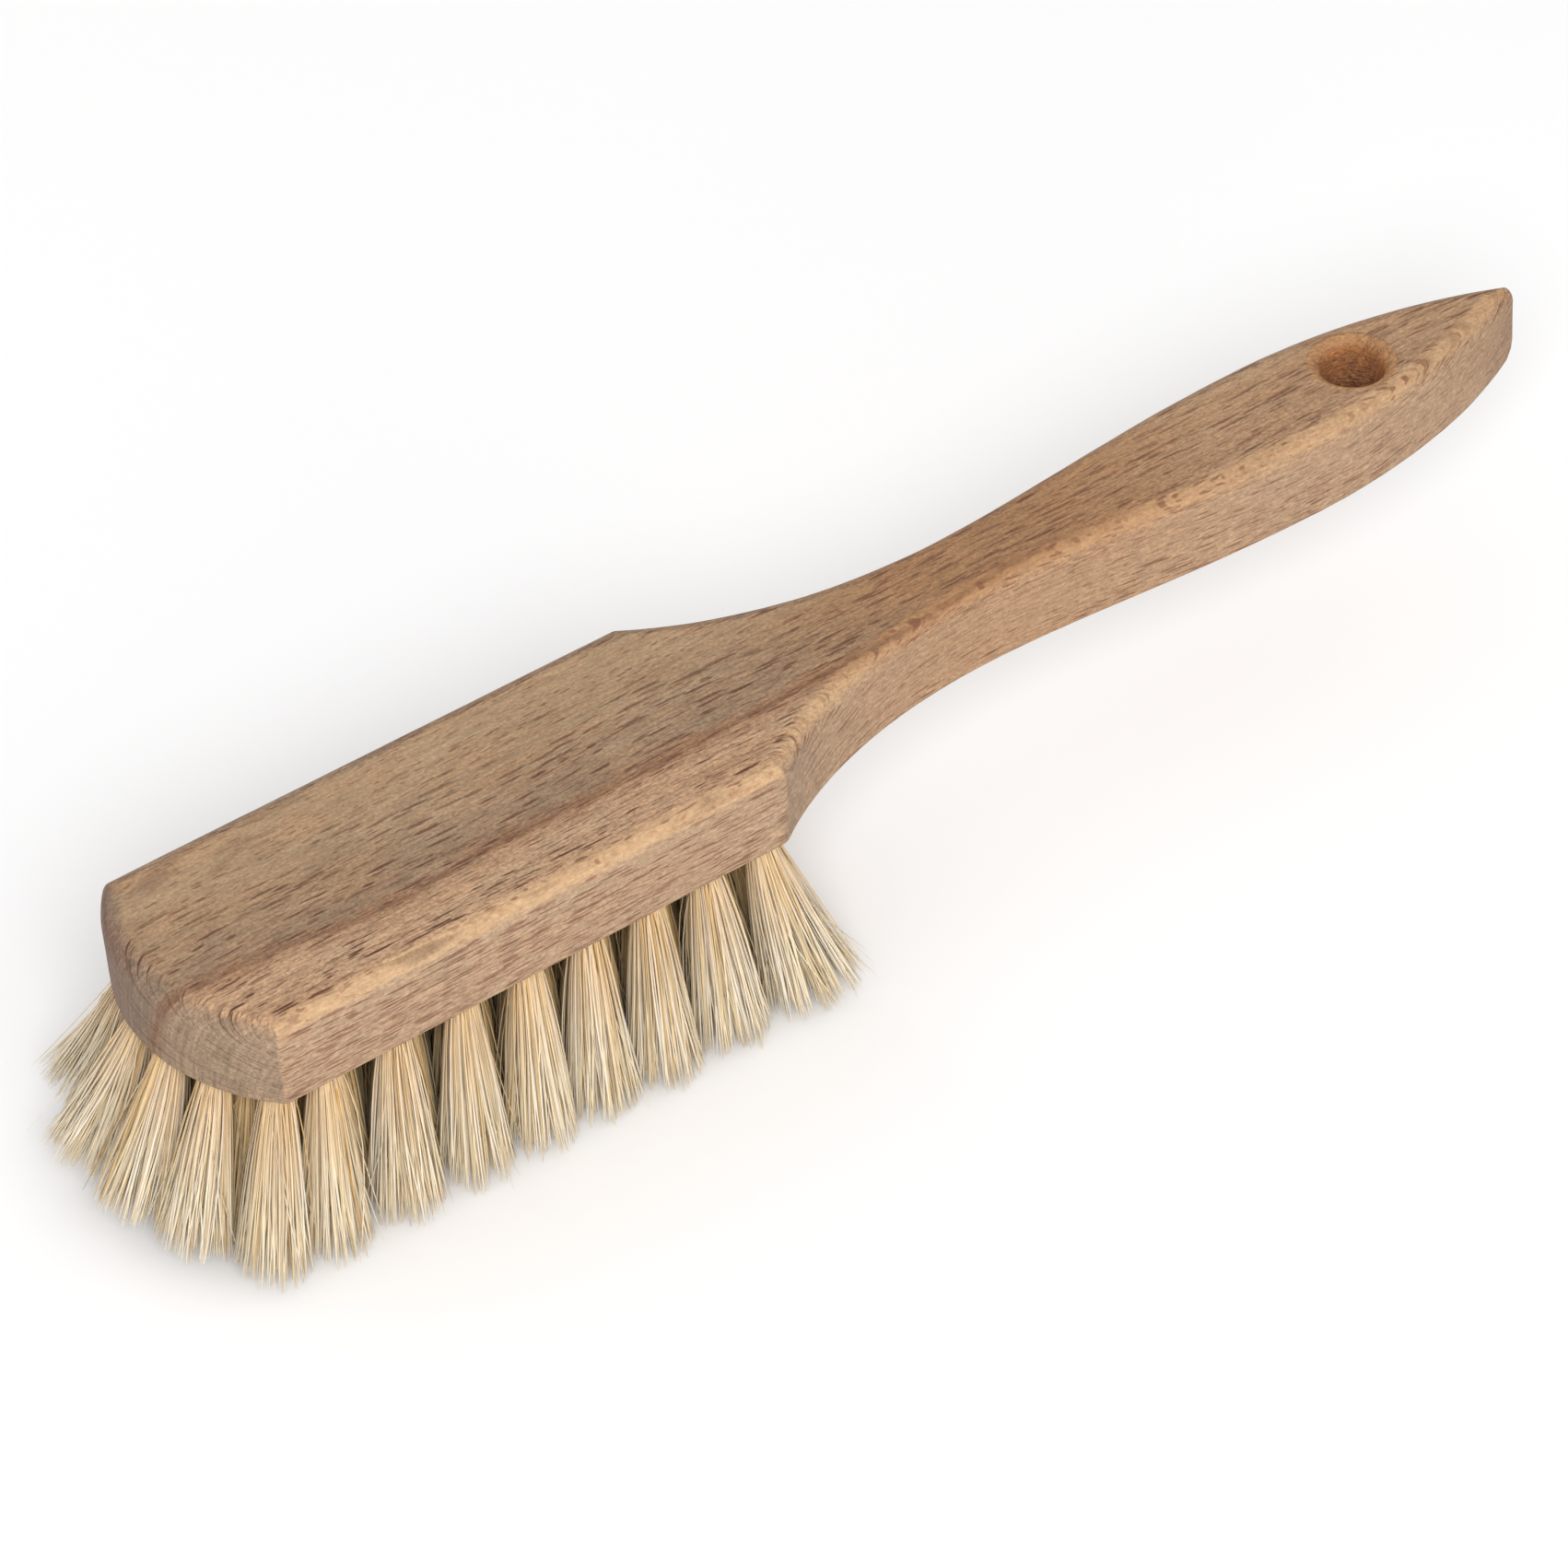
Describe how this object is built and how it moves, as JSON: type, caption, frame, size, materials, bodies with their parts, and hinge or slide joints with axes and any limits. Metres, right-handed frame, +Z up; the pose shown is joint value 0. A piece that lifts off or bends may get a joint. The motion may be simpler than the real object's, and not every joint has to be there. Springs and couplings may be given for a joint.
{
  "type": "corner brush",
  "caption": "Wooden hand brush with a flat block, a waisted handle with a hanging hole, and staggered rows of stiff fibre tufts that lean out past the rounded front.",
  "frame": {"origin": "the middle of the bounding box in plan, at the level of the bristle tips that the brush stands on", "axes": "+Z up out of the block's top face; +X from the rounded front of the block to the tip of the handle; +Y across the block, to the left when looking from the front end to the handle's tip"},
  "size_m": [0.2864, 0.049, 0.0535],
  "materials": {
    "beech": "unvarnished, fine sanded",
    "plant_fibre": "stiff undyed plant fibre, drawn through drilled holes"
  },
  "bodies": {
    "root": {"block_and_handle": "beech", "bristle_tuft_row1_01": "plant_fibre", "bristle_tuft_row1_02": "plant_fibre", "bristle_tuft_row1_03": "plant_fibre", "bristle_tuft_row1_04": "plant_fibre", "bristle_tuft_row1_05": "plant_fibre", "bristle_tuft_row1_06": "plant_fibre", "bristle_tuft_row1_07": "plant_fibre", "bristle_tuft_row1_08": "plant_fibre", "bristle_tuft_row1_09": "plant_fibre", "bristle_tuft_row2_01": "plant_fibre", "bristle_tuft_row2_02": "plant_fibre", "bristle_tuft_row2_03": "plant_fibre", "bristle_tuft_row2_04": "plant_fibre", "bristle_tuft_row2_05": "plant_fibre", "bristle_tuft_row2_06": "plant_fibre", "bristle_tuft_row2_07": "plant_fibre", "bristle_tuft_row2_08": "plant_fibre", "bristle_tuft_row2_09": "plant_fibre", "bristle_tuft_row2_10": "plant_fibre", "bristle_tuft_row3_01": "plant_fibre", "bristle_tuft_row3_02": "plant_fibre", "bristle_tuft_row3_03": "plant_fibre", "bristle_tuft_row3_04": "plant_fibre", "bristle_tuft_row3_05": "plant_fibre", "bristle_tuft_row3_06": "plant_fibre", "bristle_tuft_row3_07": "plant_fibre", "bristle_tuft_row3_08": "plant_fibre", "bristle_tuft_row3_09": "plant_fibre", "bristle_tuft_row4_01": "plant_fibre", "bristle_tuft_row4_02": "plant_fibre", "bristle_tuft_row4_03": "plant_fibre", "bristle_tuft_row4_04": "plant_fibre", "bristle_tuft_row4_05": "plant_fibre", "bristle_tuft_row4_06": "plant_fibre", "bristle_tuft_row4_07": "plant_fibre", "bristle_tuft_row4_08": "plant_fibre", "bristle_tuft_row4_09": "plant_fibre", "bristle_tuft_row4_10": "plant_fibre", "bristle_tuft_row5_01": "plant_fibre", "bristle_tuft_row5_02": "plant_fibre", "bristle_tuft_row5_03": "plant_fibre", "bristle_tuft_row5_04": "plant_fibre", "bristle_tuft_row5_05": "plant_fibre", "bristle_tuft_row5_06": "plant_fibre", "bristle_tuft_row5_07": "plant_fibre", "bristle_tuft_row5_08": "plant_fibre", "bristle_tuft_row5_09": "plant_fibre"}
  },
  "joints": []
}
